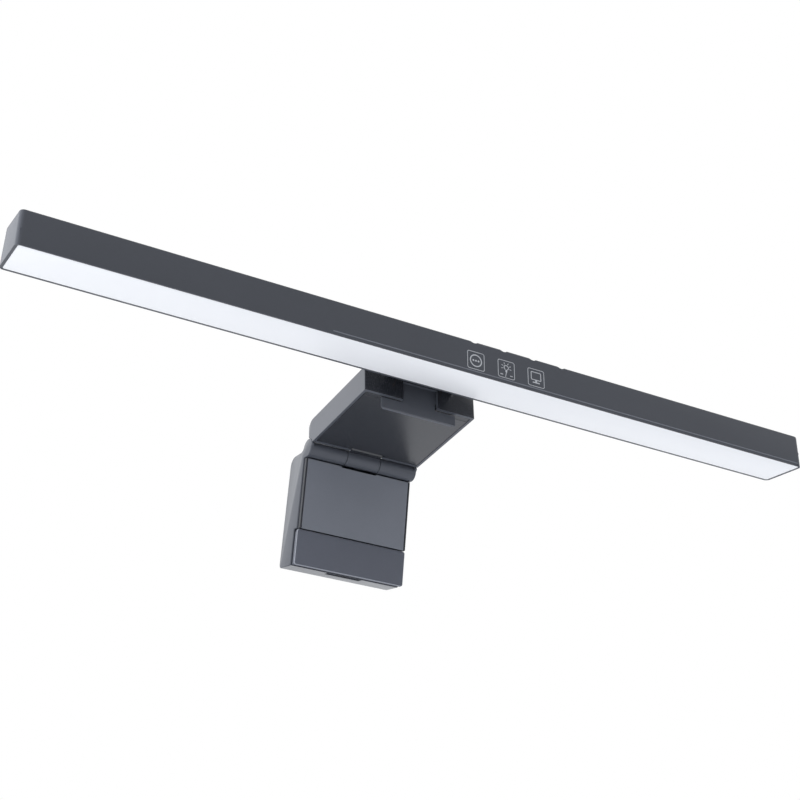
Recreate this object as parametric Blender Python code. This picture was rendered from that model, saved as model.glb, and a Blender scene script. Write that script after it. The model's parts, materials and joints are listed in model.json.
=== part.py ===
"""Monitor light bar: an LED bar on a folding clamp that rests on a monitor's top edge.

Frame: the origin is the centre of the arm's flat underside, which rests on the monitor.
+X runs along the bar, +Y points to the back of the monitor and +Z up.
Three rigid bodies: the arm, the bar (tilts about X in front of the arm) and the
counterweight (folds about X behind it). Lengths are in metres.
"""
import math

import bmesh
import bpy
from mathutils import Matrix, Vector

MM = 0.001
GAP = 0.3 * MM              # clearance between neighbouring pieces
RUN = 0.15 * MM             # radial clearance of a pin in its bore
OVERLAP = 0.2 * MM          # how far two shapes run into each other before a union
ROUND_SIDES = 32

# Arm
ARM_WIDTH = 58.0 * MM
ARM_FRONT = -27.0 * MM
ARM_REAR = 31.4 * MM
ARM_HEIGHT = 12.8 * MM
ARM_WALL = 1.6 * MM
ARM_SIDE_WALL = 1.4 * MM
ARM_ROUND = 4.5 * MM        # top rear edge
COVER_THICK = 1.4 * MM
REST_FRONT = -22.4 * MM     # in front of this the cover steps up, clear of the monitor
REST_STEP = 0.15 * MM
COVER_STUD = (22.0 * MM, -14.0 * MM)
SCREW_R = 0.9 * MM
HEAD_R = 1.8 * MM
HEAD_THICK = 0.9 * MM
BOSS_R = 2.4 * MM
WINDOW_TOP = 9.6 * MM

# T-shaped lip that hooks over the monitor's front edge
LIP_Y = ARM_FRONT + 1.9 * MM
LIP_THICK = 1.2 * MM
LIP_HALF = 19.3 * MM
LIP_NECK_HALF = 8.7 * MM
LIP_FLANGE_HALF = 15.0 * MM
LIP_BAR_Z = (-5.5 * MM, -0.4 * MM)
LIP_FLANGE_Z = (3.0 * MM, 10.6 * MM)
LIP_SCREW = (12.2 * MM, 7.4 * MM)

# Leaf inside the arm, with the clamp hinge's middle knuckle
LEAF_HALF = 8.4 * MM
LEAF_TOP = 5.2 * MM
LEAF_THICK = 2.0 * MM
LEAF_SCREW = (5.0 * MM, 12.0 * MM)

# Clamp hinge between the arm and the counterweight
HINGE_Y = 32.4 * MM
HINGE_Z = -1.25 * MM
KNUCKLE_R = 3.9 * MM
KNUCKLE_HALF = 8.8 * MM     # half width of the middle knuckle
EAR_R = 5.0 * MM
COVE_R = EAR_R + GAP
HINGE_PIN_R = 1.25 * MM
BUSH_R = 2.2 * MM
LEAN = math.radians(10.5)   # the counterweight leans back from square

# Counterweight, in the hinge's own frame: -Z runs down its front panel
WEIGHT_WIDTH = 58.0 * MM
WEIGHT_WALL = 1.2 * MM
PANEL_Y = 1.0 * MM
PANEL_TOP = -4.3 * MM
PANEL_BOTTOM = -39.3 * MM
PANEL_THICK = 0.8 * MM
PANEL_HALF = 27.5 * MM
RAIL_HALF = 28.4 * MM
WALL_EDGE_Y = 3.4 * MM      # front edge of the side walls beside the panel
PAD_Y = 2.0 * MM
PAD_TOP = -39.65 * MM
PAD_BOTTOM = -57.0 * MM
PAD_THICK = 3.8 * MM
PAD_GROOVE = 0.8 * MM       # open line between the pad and the housing's edge
WEIGHT_BACK = 18.5 * MM     # at the top; the back wall leans out to the foot
WEIGHT_BACK_LOW = 19.6 * MM
WEIGHT_FOOT_ROUND = 2.0 * MM
WEIGHT_FLOOR_FRONT = -56.7 * MM
WEIGHT_FLOOR_BACK = -55.8 * MM
WEIGHT_TOP = -0.1 * MM
WEIGHT_ROUND = 4.5 * MM
TRAY_SCREW_R = 1.1 * MM
TRAY_HEAD_R = 2.3 * MM
TRAY_BOSS_R = 2.6 * MM
KNUCKLE_CLEAR = 0.6 * MM    # round the middle knuckle where it swings past the panel
SLOT_HALF = 9.2 * MM
SLOT_Y = (6.9 * MM, 10.5 * MM)

# Bar tilt hinge in front of the arm
TILT_Y = -31.6 * MM
TILT_Z = 11.2 * MM
TILT_R = 3.0 * MM
TILT_PIN_R = 1.25 * MM
BAR_PITCH = math.radians(9.6)
SADDLE_KNUCKLE_HALF = 11.8 * MM
LUG_INNER = 12.6 * MM
LUG_OUTER = 17.4 * MM
SADDLE_HALF = 18.0 * MM
SADDLE_THICK = 1.4 * MM
SADDLE_Z = (-3.4 * MM, 8.2 * MM)
SADDLE_SCREW = (14.4 * MM, 5.6 * MM)
SADDLE_HOLE_R = SCREW_R + 0.25 * MM

# Bar, in the tilt hinge's own frame: its diffuser lies level there
BAR_LENGTH = 400.0 * MM
BAR_FRONT_Y = -30.35 * MM   # front bottom edge
BAR_BOTTOM_Z = -6.05 * MM
BAR_DEPTH = 25.8 * MM
BAR_FRONT_HEIGHT = 17.0 * MM
BAR_REAR_HEIGHT = 17.8 * MM
BAR_FRONT_LEAN = 2.1 * MM
BAR_REAR_LEAN = 1.3 * MM
BAR_WALL = 1.2 * MM
BAR_END_ROUND = 2.2 * MM    # upright corners at the ends
BAR_TOP_ROUND = 1.0 * MM
BAR_REAR_Y = BAR_FRONT_Y + BAR_DEPTH
BAR_TOP_Z = BAR_BOTTOM_Z + BAR_FRONT_HEIGHT
DIFFUSER_THICK = 1.5 * MM
DIFFUSER_GAP = 0.2 * MM
FRONT_RIM = 0.4 * MM        # the front wall thins to this beside the diffuser
LEDGE_Z = 0.6 * MM
LEDGE_THICK = 1.0 * MM
SPREADER_THICK = 1.2 * MM
LED_COUNT = 48
DIP_X = 8.8 * MM            # first of the four finger dips over the touch pads
DIP_PITCH = 15.75 * MM
DIP_COUNT = 4
DIP_R = 2.6 * MM
DIP_DEPTH = 1.1 * MM
DIP_RISE = 0.55 * MM        # over the dip's length, so it runs out on the top
DIP_REACH = 15.0 * MM
BOARD_THICK = 1.0 * MM

PARTS = "monitor_light_bar"
CUTTERS = "cutters"


# ---------------------------------------------------------------- scene helpers

def clear_scene():
    for obj in list(bpy.data.objects):
        bpy.data.objects.remove(obj, do_unlink=True)


def collection(name):
    found = bpy.data.collections.get(name)
    if found is None:
        found = bpy.data.collections.new(name)
        bpy.context.scene.collection.children.link(found)
    return found


def material(name, color, roughness, metallic=0.0):
    mat = bpy.data.materials.get(name)
    if mat is None:
        mat = bpy.data.materials.new(name)
        mat.use_nodes = True
        shader = mat.node_tree.nodes["Principled BSDF"]
        shader.inputs["Base Color"].default_value = (*color, 1.0)
        shader.inputs["Roughness"].default_value = roughness
        shader.inputs["Metallic"].default_value = metallic
    return mat


def side_name(side):
    return "left" if side < 0 else "right"


def axis_empty(name, y, z, pitch):
    """An empty on a joint's axis, along X, turned by the pitch at rest."""
    empty = bpy.data.objects.new(name, None)
    empty.location = (0.0, y, z)
    empty.rotation_euler = (pitch, 0.0, 0.0)
    empty.empty_display_size = 0.02
    collection(PARTS).objects.link(empty)
    return empty


def finish_mesh(name, bm):
    bmesh.ops.remove_doubles(bm, verts=bm.verts, dist=1e-6)
    bmesh.ops.recalc_face_normals(bm, faces=bm.faces)
    mesh = bpy.data.meshes.new(name)
    bm.to_mesh(mesh)
    bm.free()
    mesh.shade_smooth()
    mesh.set_sharp_from_angle(angle=math.radians(30))
    return mesh


def part(name, bm, mat, parent=None):
    """A piece of the object: one node."""
    obj = bpy.data.objects.new(name, finish_mesh(name, bm))
    obj.data.materials.append(mat)
    obj.parent = parent
    collection(PARTS).objects.link(obj)
    return obj


def combine(target, bm, operation):
    """Cut a shape from a piece, or join it to the piece."""
    count = sum(1 for mod in target.modifiers if mod.type == 'BOOLEAN')
    tool_name = f"{target.name}_tool_{count + 1}"
    tool = bpy.data.objects.new(tool_name, finish_mesh(tool_name, bm))
    tool.parent = target.parent
    tool.hide_render = True
    tool.display_type = 'WIRE'
    collection(CUTTERS).objects.link(tool)
    modifier = target.modifiers.new(f"{operation.lower()}_{count + 1}", 'BOOLEAN')
    modifier.operation = operation
    modifier.solver = 'EXACT'
    modifier.object = tool


def cut(target, bm):
    combine(target, bm, 'DIFFERENCE')


def join(target, bm):
    combine(target, bm, 'UNION')


# ---------------------------------------------------------------- shapes

def cuboid(x, y, z):
    """A box from the low and high value on each axis."""
    size = Vector((x[1] - x[0], y[1] - y[0], z[1] - z[0]))
    centre = Vector((x[0] + x[1], y[0] + y[1], z[0] + z[1])) / 2
    bm = bmesh.new()
    place = Matrix.Translation(centre) @ Matrix.Diagonal((*size, 1.0))
    bmesh.ops.create_cube(bm, size=1.0, matrix=place)
    return bm


def rod(start, end, radius, sides=ROUND_SIDES):
    """A round bar between two points."""
    start = Vector(start)
    end = Vector(end)
    turn = (end - start).to_track_quat('Z', 'Y').to_matrix().to_4x4()
    bm = bmesh.new()
    bmesh.ops.create_cone(bm, cap_ends=True, segments=sides, radius1=radius, radius2=radius,
                          depth=(end - start).length,
                          matrix=Matrix.Translation((start + end) / 2) @ turn)
    return bm


def rod_x(x, y, z, radius, sides=ROUND_SIDES):
    return rod((x[0], y, z), (x[1], y, z), radius, sides)


def merged(*shapes):
    """Several separate shapes as one tool."""
    total = bmesh.new()
    for bm in shapes:
        piece = bpy.data.meshes.new("piece")
        bm.to_mesh(piece)
        bm.free()
        total.from_mesh(piece)
        bpy.data.meshes.remove(piece)
    return total


def arc(centre, radius, start_deg, end_deg, steps):
    """Points on an arc in the YZ plane, angles from +Y towards +Z."""
    points = []
    for i in range(steps + 1):
        angle = math.radians(start_deg + (end_deg - start_deg) * i / steps)
        points.append((centre[0] + radius * math.cos(angle), centre[1] + radius * math.sin(angle)))
    return points


def extruded(outline, x):
    """A flat outline of (y, z) points, extruded along X: a filled 2D curve."""
    curve = bpy.data.curves.new("outline", 'CURVE')
    curve.dimensions = '2D'
    curve.fill_mode = 'BOTH'
    curve.extrude = (x[1] - x[0]) / 2
    spline = curve.splines.new('POLY')
    spline.points.add(len(outline) - 1)
    for point, (y, z) in zip(spline.points, outline):
        point.co = (y, z, 0.0, 1.0)
    spline.use_cyclic_u = True
    guide = bpy.data.objects.new("outline", curve)
    bpy.context.scene.collection.objects.link(guide)
    evaluated = guide.evaluated_get(bpy.context.evaluated_depsgraph_get())
    mesh = bpy.data.meshes.new_from_object(evaluated)
    # The curve's X, Y and Z become the part's Y, Z and X.
    mesh.transform(Matrix(((0, 0, 1, (x[0] + x[1]) / 2), (1, 0, 0, 0), (0, 1, 0, 0), (0, 0, 0, 1))))
    bm = bmesh.new()
    bm.from_mesh(mesh)
    bmesh.ops.remove_doubles(bm, verts=bm.verts, dist=1e-6)
    bmesh.ops.dissolve_limit(bm, angle_limit=math.radians(0.5), verts=bm.verts, edges=bm.edges)
    bpy.data.objects.remove(guide, do_unlink=True)
    bpy.data.curves.remove(curve)
    bpy.data.meshes.remove(mesh)
    return bm


def wire(name, route, radius, mat, parent=None):
    """A short internal lead along a few points, given in millimetres."""
    curve = bpy.data.curves.new(name, 'CURVE')
    curve.dimensions = '3D'
    curve.bevel_depth = radius
    curve.bevel_resolution = 2
    curve.use_fill_caps = True
    spline = curve.splines.new('POLY')
    spline.points.add(len(route) - 1)
    for point, place in zip(spline.points, route):
        point.co = (*(value * MM for value in place), 1.0)
    guide = bpy.data.objects.new(name + "_route", curve)
    bpy.context.scene.collection.objects.link(guide)
    evaluated = guide.evaluated_get(bpy.context.evaluated_depsgraph_get())
    mesh = bpy.data.meshes.new_from_object(evaluated)
    bm = bmesh.new()
    bm.from_mesh(mesh)
    bmesh.ops.remove_doubles(bm, verts=bm.verts, dist=1e-6)
    bpy.data.objects.remove(guide, do_unlink=True)
    bpy.data.curves.remove(curve)
    bpy.data.meshes.remove(mesh)
    return part(name, bm, mat, parent)


def screw(name, head, direction, shank_r, length, head_r, head_thick, mat, parent=None):
    """A pan-head screw: head is the centre of the head's outer face."""
    head = Vector(head)
    direction = Vector(direction).normalized()
    seat = head + direction * head_thick
    obj = part(name, rod(head, seat, head_r, 20), mat, parent)
    join(obj, rod(seat - direction * OVERLAP, seat + direction * length, shank_r, 20))
    socket = rod(head - direction * OVERLAP, head + direction * head_thick * 0.6, head_r * 0.5, 6)
    cut(obj, socket)
    return obj


def rounded(bm, width, segments, keep_sharp):
    """Round every edge of a shape except those that the test keeps sharp."""
    edges = [edge for edge in bm.edges if not keep_sharp(edge) and edge.calc_face_angle(0) > 0.3]
    bmesh.ops.bevel(bm, geom=edges, offset=width, segments=segments, profile=0.5, affect='EDGES')
    return bm


# ---------------------------------------------------------------- materials

ALLOY = ("grey_alloy", (0.085, 0.092, 0.108), 0.42, 0.35)
PANEL_GREY = ("panel_grey", (0.115, 0.125, 0.145), 0.45, 0.30)
TRAY_GREY = ("tray_grey", (0.055, 0.060, 0.070), 0.55, 0.0)
PAD_GREY = ("pad_rubber", (0.080, 0.086, 0.100), 0.75, 0.0)
STEEL = ("bright_steel", (0.55, 0.56, 0.58), 0.30, 1.0)
DARK_STEEL = ("blackened_steel", (0.060, 0.065, 0.075), 0.45, 0.6)
BRONZE = ("bronze", (0.50, 0.33, 0.16), 0.35, 1.0)
DIFFUSER = ("diffuser_white", (0.90, 0.92, 0.95), 0.50, 0.0)
ALUMINIUM = ("aluminium", (0.70, 0.71, 0.73), 0.35, 1.0)
REFLECTIVE = ("reflector_white", (0.88, 0.88, 0.86), 0.25, 0.0)
BOARD_GREEN = ("board_green", (0.03, 0.16, 0.08), 0.50, 0.0)
BOARD_WHITE = ("board_white", (0.80, 0.80, 0.78), 0.45, 0.0)
WIRE_BLACK = ("wire_black", (0.02, 0.02, 0.02), 0.50, 0.0)


# ---------------------------------------------------------------- arm

def build_arm_shell():
    half = ARM_WIDTH / 2
    corner = (ARM_REAR - ARM_ROUND, ARM_HEIGHT - ARM_ROUND)
    outline = [(ARM_FRONT, 0.0), (ARM_REAR, 0.0)]
    outline += arc(corner, ARM_ROUND, 0, 90, 6)
    outline += [(ARM_FRONT, ARM_HEIGHT)]
    body = extruded(outline, (-half, half))
    rounded(body, 0.5 * MM, 2, lambda edge: max(v.co.z for v in edge.verts) < 1e-6)
    shell = part("arm_shell", body, material(*ALLOY))
    cut(shell, rod_x((-half - MM, half + MM), HINGE_Y, HINGE_Z, COVE_R, 48))

    # The cavity keeps one wall thickness everywhere, also round the hinge cove.
    inner_cove = COVE_R + ARM_WALL
    ceiling = ARM_HEIGHT - ARM_WALL
    rear = ARM_REAR - ARM_WALL
    low_angle = 180 - math.degrees(math.asin((-MM - HINGE_Z) / inner_cove))
    high_angle = math.degrees(math.acos((rear - HINGE_Y) / inner_cove))
    inner = [(ARM_FRONT + ARM_WALL, -MM)]
    inner += arc((HINGE_Y, HINGE_Z), inner_cove, low_angle, high_angle, 6)
    inner_round = ARM_ROUND - ARM_WALL
    inner += arc((rear - inner_round, ceiling - inner_round), inner_round, 0, 90, 4)
    inner += [(ARM_FRONT + ARM_WALL, ceiling)]
    inner_half = half - ARM_SIDE_WALL
    cut(shell, extruded(inner, (-inner_half, inner_half)))

    # The lip's neck shows through a window in the front wall.
    window_half = LIP_NECK_HALF + 0.4 * MM
    cut(shell, cuboid((-window_half, window_half), (ARM_FRONT - MM, ARM_FRONT + ARM_WALL + MM),
                      (-MM, WINDOW_TOP)))
    # The hinge leaf enters through a slot in the cove wall.
    leaf_slot = LEAF_HALF + GAP
    cut(shell, cuboid((-leaf_slot, leaf_slot), (22.0 * MM, 29.0 * MM), (-MM, 5.6 * MM)))

    for side in (-1, 1):
        # Tilt lugs stand in front of the front wall, flush with the top.
        lug_x = sorted((side * LUG_INNER, side * LUG_OUTER))
        lug = arc((TILT_Y, TILT_Z), TILT_R, 90, 315, 12)
        lug += [(ARM_FRONT + OVERLAP, TILT_Z - 0.4 * MM)]
        lug += [(ARM_FRONT + OVERLAP, TILT_Z + TILT_R - 2.2 * MM)]
        join(shell, extruded(lug, lug_x))
        # Bosses for the leaf's screws hang from the ceiling.
        x, y = side * LEAF_SCREW[0], LEAF_SCREW[1]
        join(shell, rod((x, y, LEAF_TOP + GAP), (x, y, ceiling + OVERLAP), BOSS_R, 20))
        cut(shell, rod((x, y, LEAF_TOP - MM), (x, y, ceiling - MM), SCREW_R + GAP, 20))
        # Blind holes for the lip's screws.
        x, z = side * LIP_SCREW[0], LIP_SCREW[1]
        cut(shell, rod((x, ARM_FRONT + 0.3 * MM, z), (x, ARM_FRONT + ARM_WALL + MM, z),
                       SCREW_R + 0.2 * MM, 20))
        # Posts for the cover's studs.
        x, y = side * COVER_STUD[0], COVER_STUD[1]
        join(shell, rod((x, y, COVER_THICK + GAP), (x, y, ceiling + OVERLAP), BOSS_R, 20))
        cut(shell, rod((x, y, -MM), (x, y, ceiling - MM), SCREW_R + GAP, 20))
    cut(shell, rod_x((-LUG_OUTER - MM, LUG_OUTER + MM), TILT_Y, TILT_Z, TILT_PIN_R + RUN))


def build_arm_cover():
    """The flat plate that rests on the monitor."""
    half = ARM_WIDTH / 2 - ARM_SIDE_WALL - GAP
    front = ARM_FRONT + ARM_WALL + GAP
    inner_cove = COVE_R + ARM_WALL
    rear = HINGE_Y - math.sqrt(inner_cove ** 2 - (COVER_THICK - HINGE_Z) ** 2) - GAP - 0.5 * MM
    cover = part("arm_cover", cuboid((-half, half), (front, rear), (0.0, COVER_THICK)), material(*ALLOY))
    notch = LIP_NECK_HALF + GAP
    cut(cover, cuboid((-notch, notch), (front - MM, LIP_Y + LIP_THICK + GAP), (-MM, COVER_THICK + MM)))
    cut(cover, cuboid((-half - MM, half + MM), (front - MM, REST_FRONT), (-MM, REST_STEP)))
    # The hinge leaf dips past the rear edge.
    leaf_notch = LEAF_HALF + GAP
    cut(cover, cuboid((-leaf_notch, leaf_notch), (24.4 * MM, ARM_REAR), (-MM, COVER_THICK + MM)))
    for side in (-1, 1):
        x, y = side * COVER_STUD[0], COVER_STUD[1]
        cut(cover, rod((x, y, COVER_THICK + MM), (x, y, 0.6 * MM), SCREW_R + GAP, 20))


def build_front_lip():
    depth = (LIP_Y, LIP_Y + LIP_THICK)
    lip = part("front_lip", cuboid((-LIP_HALF, LIP_HALF), depth, LIP_BAR_Z), material(*PANEL_GREY))
    join(lip, cuboid((-LIP_NECK_HALF, LIP_NECK_HALF), depth, (LIP_BAR_Z[1] - OVERLAP, LIP_FLANGE_Z[1] - MM)))
    join(lip, cuboid((-LIP_FLANGE_HALF, LIP_FLANGE_HALF), depth, LIP_FLANGE_Z))
    for side in (-1, 1):
        x, z = side * LIP_SCREW[0], LIP_SCREW[1]
        cut(lip, rod((x, LIP_Y - MM, z), (x, LIP_Y + LIP_THICK + MM, z), SCREW_R + 0.2 * MM, 20))
        screw("lip_screw_" + side_name(side), (x, LIP_Y + LIP_THICK + GAP + HEAD_THICK, z), (0, -1, 0),
              SCREW_R, 2.2 * MM, HEAD_R, HEAD_THICK, material(*STEEL))
    back = LIP_Y + LIP_THICK + GAP
    part("lip_pad", cuboid((-18.0 * MM, 18.0 * MM), (back, back + 0.8 * MM), (-5.1 * MM, -1.0 * MM)),
         material(*PAD_GREY))


def build_hinge_leaf():
    """The steel leaf in the arm that carries the middle knuckle."""
    knuckle = rod_x((-KNUCKLE_HALF, KNUCKLE_HALF), HINGE_Y, HINGE_Z, KNUCKLE_R)
    leaf = part("hinge_leaf", knuckle, material(*ALLOY))
    plate_low = LEAF_TOP - LEAF_THICK
    outline = [(HINGE_Y, 0.2 * MM), (HINGE_Y, 2.2 * MM), (27.0 * MM, 2.2 * MM), (24.4 * MM, LEAF_TOP),
               (6.0 * MM, LEAF_TOP), (6.0 * MM, plate_low), (23.4 * MM, plate_low), (26.1 * MM, 0.2 * MM)]
    join(leaf, extruded(outline, (-LEAF_HALF, LEAF_HALF)))
    cut(leaf, rod_x((-KNUCKLE_HALF - MM, KNUCKLE_HALF + MM), HINGE_Y, HINGE_Z, BUSH_R + RUN))
    for side in (-1, 1):
        x, y = side * LEAF_SCREW[0], LEAF_SCREW[1]
        cut(leaf, rod((x, y, 0), (x, y, LEAF_TOP + MM), SCREW_R + GAP, 20))
        screw("leaf_screw_" + side_name(side), (x, y, plate_low - GAP - HEAD_THICK), (0, 0, 1),
              SCREW_R, 5.5 * MM, HEAD_R, HEAD_THICK, material(*STEEL))
    bush = part("hinge_bush", rod_x((-KNUCKLE_HALF, KNUCKLE_HALF), HINGE_Y, HINGE_Z, BUSH_R),
                material(*BRONZE))
    cut(bush, rod_x((-KNUCKLE_HALF - MM, KNUCKLE_HALF + MM), HINGE_Y, HINGE_Z, HINGE_PIN_R + RUN))


def build_cover_studs():
    """Studs that hold the cover to the shell's posts from inside."""
    for side in (-1, 1):
        x, y = side * COVER_STUD[0], COVER_STUD[1]
        part("cover_stud_" + side_name(side), rod((x, y, 0.9 * MM), (x, y, 8.0 * MM), SCREW_R, 20),
             material(*STEEL))


def build_arm():
    build_arm_shell()
    build_arm_cover()
    build_front_lip()
    build_hinge_leaf()
    build_cover_studs()
    route = [(16, 22, 7), (16, 8, 7), (14, -6, 7), (18, -20, 8)]
    wire("arm_lead", route, 0.9 * MM, material(*WIRE_BLACK))


# ---------------------------------------------------------------- counterweight

def floor_z(y):
    """Height of the counterweight's outer floor at a depth."""
    front = PAD_Y + PAD_THICK
    share = (y - front) / (WEIGHT_BACK_LOW - front)
    return WEIGHT_FLOOR_FRONT + share * (WEIGHT_FLOOR_BACK - WEIGHT_FLOOR_FRONT)


def build_weight_housing(axis):
    half = WEIGHT_WIDTH / 2
    pad_edge = PAD_Y + PAD_THICK + PAD_GROOVE
    outline = [(WALL_EDGE_Y, PAD_TOP + 0.7 * MM), (pad_edge, PAD_TOP + 0.7 * MM)]
    outline += [(pad_edge, floor_z(pad_edge))]
    foot = (WEIGHT_BACK_LOW - WEIGHT_FOOT_ROUND, WEIGHT_FLOOR_BACK + WEIGHT_FOOT_ROUND)
    outline += arc(foot, WEIGHT_FOOT_ROUND, -86, 0, 4)
    corner = (WEIGHT_BACK - WEIGHT_ROUND, WEIGHT_TOP - WEIGHT_ROUND)
    outline += arc(corner, WEIGHT_ROUND, 0, 90, 6)
    outline += [(7.2 * MM, WEIGHT_TOP), (5.6 * MM, 0.5 * MM)]
    outline += arc((0.0, 0.0), EAR_R, 15, 165, 14)
    outline += arc((0.0, 0.0), KNUCKLE_R, 180, 270, 8)
    outline += [(WALL_EDGE_Y, -KNUCKLE_R)]
    body = extruded(outline, (-half, half))
    rounded(body, 0.45 * MM, 2, lambda edge: abs(edge.verts[0].co.x - edge.verts[1].co.x) > 1e-6)
    housing = part("weight_housing", body, material(*ALLOY), axis)

    inner_half = half - WEIGHT_WALL
    back = WEIGHT_BACK - WEIGHT_WALL
    back_low = WEIGHT_BACK_LOW - WEIGHT_WALL
    ceiling = WEIGHT_TOP - 1.5 * MM
    cavity = [(-10 * MM, -4.6 * MM), (4.4 * MM, -4.6 * MM), (4.4 * MM, ceiling)]
    cavity += [(back - 3 * MM, ceiling), (back, ceiling - 3 * MM)]
    cavity += [(back_low, floor_z(back_low) + 1.3 * MM), (-10 * MM, floor_z(-10 * MM) + 1.3 * MM)]
    cut(housing, extruded(cavity, (-inner_half, inner_half)))
    # Between the ears only the knuckles stay.
    cut(housing, cuboid((-inner_half, inner_half), (-7 * MM, 4.6 * MM), (-4.7 * MM, 8 * MM)))
    cut(housing, cuboid((-inner_half, inner_half), (4.5 * MM, 7.4 * MM), (WEIGHT_TOP, 3 * MM)))
    for side in (-1, 1):
        span = sorted((side * (KNUCKLE_HALF + GAP), side * (inner_half + OVERLAP)))
        join(housing, rod_x(span, 0, 0, KNUCKLE_R))
        join(housing, cuboid(span, (0.5 * MM, 6 * MM), (-3.3 * MM, WEIGHT_TOP)))
    for x, z in tray_screw_places():
        join(housing, rod((x, 8.2 * MM, z), (x, back_low + OVERLAP, z), TRAY_BOSS_R, 20))
        cut(housing, rod((x, 7 * MM, z), (x, back - MM, z), TRAY_SCREW_R + GAP, 20))
    cut(housing, rod_x((-half + MM, half + MM), 0, 0, HINGE_PIN_R + RUN))
    cut(housing, cuboid((-SLOT_HALF, SLOT_HALF), SLOT_Y, (-60 * MM, -52 * MM)))


def tray_screw_places():
    return [(x * MM, z * MM) for x in (-22, 22) for z in (-44, -52)]


def build_inner_tray(axis):
    """The dark carrier that closes the housing's front and holds the panel and the pad."""
    inner_half = WEIGHT_WIDTH / 2 - WEIGHT_WALL - GAP
    step_y = PAD_Y + PAD_THICK + GAP
    tray = part("inner_tray", cuboid((-RAIL_HALF, RAIL_HALF), (PANEL_Y, WALL_EDGE_Y - GAP),
                                     (PANEL_BOTTOM, PANEL_TOP)), material(*TRAY_GREY), axis)
    pocket_half = PANEL_HALF + GAP
    cut(tray, cuboid((-pocket_half, pocket_half), (PANEL_Y - MM, PANEL_Y + PANEL_THICK + GAP),
                     (PANEL_BOTTOM - MM, PANEL_TOP + MM)))
    slab_back = step_y + 1.6 * MM
    lower = [(2.3 * MM, -38.0 * MM), (2.3 * MM, PANEL_BOTTOM), (step_y, PANEL_BOTTOM), (step_y, -55.0 * MM),
             (slab_back, -55.0 * MM), (slab_back, -38.0 * MM)]
    join(tray, extruded(lower, (-inner_half, inner_half)))
    for side in (-1, 1):
        rib = sorted((side * inner_half, side * (inner_half - 1.2 * MM)))
        join(tray, cuboid(rib, (2.4 * MM, 15 * MM), (-38.6 * MM, -5.2 * MM)))
    for x, z in tray_screw_places():
        cut(tray, rod((x, 5 * MM, z), (x, 9 * MM, z), TRAY_SCREW_R + GAP, 20))
        cut(tray, rod((x, 5 * MM, z), (x, step_y + 0.9 * MM, z), TRAY_HEAD_R + GAP, 20))
    cut(tray, cuboid((-SLOT_HALF, SLOT_HALF), (6.7 * MM, 9 * MM), (-56 * MM, -44 * MM)))
    # The middle knuckle swings clear of the tray's top edge.
    swing_half = KNUCKLE_HALF + KNUCKLE_CLEAR
    cut(tray, cuboid((-swing_half, swing_half), (-MM, 5 * MM), (PANEL_TOP - KNUCKLE_CLEAR, 0)))


def build_weight(axis):
    build_weight_housing(axis)
    build_inner_tray(axis)
    panel = part("front_panel", cuboid((-PANEL_HALF, PANEL_HALF), (PANEL_Y, PANEL_Y + PANEL_THICK),
                                       (PANEL_BOTTOM, PANEL_TOP)), material(*PANEL_GREY), axis)
    swing_half = KNUCKLE_HALF + KNUCKLE_CLEAR
    cut(panel, cuboid((-swing_half, swing_half), (0, 3 * MM), (PANEL_TOP - KNUCKLE_CLEAR, 0)))
    pad_half = WEIGHT_WIDTH / 2
    pad = cuboid((-pad_half, pad_half), (PAD_Y, PAD_Y + PAD_THICK), (PAD_BOTTOM, PAD_TOP))
    rounded(pad, 0.8 * MM, 3, lambda edge: max(v.co.y for v in edge.verts) > PAD_Y + PAD_THICK - 1e-6)
    part("rubber_pad", pad, material(*PAD_GREY), axis)

    weight = cuboid((-25.6 * MM, 25.6 * MM), (WALL_EDGE_Y + 0.2 * MM, 16.6 * MM), (-37.6 * MM, -5.4 * MM))
    rounded(weight, 0.8 * MM, 1, lambda edge: False)
    part("steel_weight", weight, material(*DARK_STEEL), axis)
    part("hinge_pin", rod_x((-WEIGHT_WIDTH / 2 + 1.2 * MM, WEIGHT_WIDTH / 2 - 0.2 * MM), 0, 0, HINGE_PIN_R),
         material(*STEEL), axis)
    for number, (x, z) in enumerate(tray_screw_places(), start=1):
        seat = PAD_Y + PAD_THICK + GAP
        screw(f"tray_screw_{number}", (x, seat, z), (0, 1, 0), TRAY_SCREW_R, 7.5 * MM, TRAY_HEAD_R, 0.8 * MM,
              material(*STEEL), axis)
    build_usb_socket(axis)
    route = [(0, 14, -46), (-6, 14.5, -42), (-18, 14, -41), (-23, 12, -40)]
    wire("weight_lead", route, 0.9 * MM, material(*WIRE_BLACK), axis)


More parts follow.
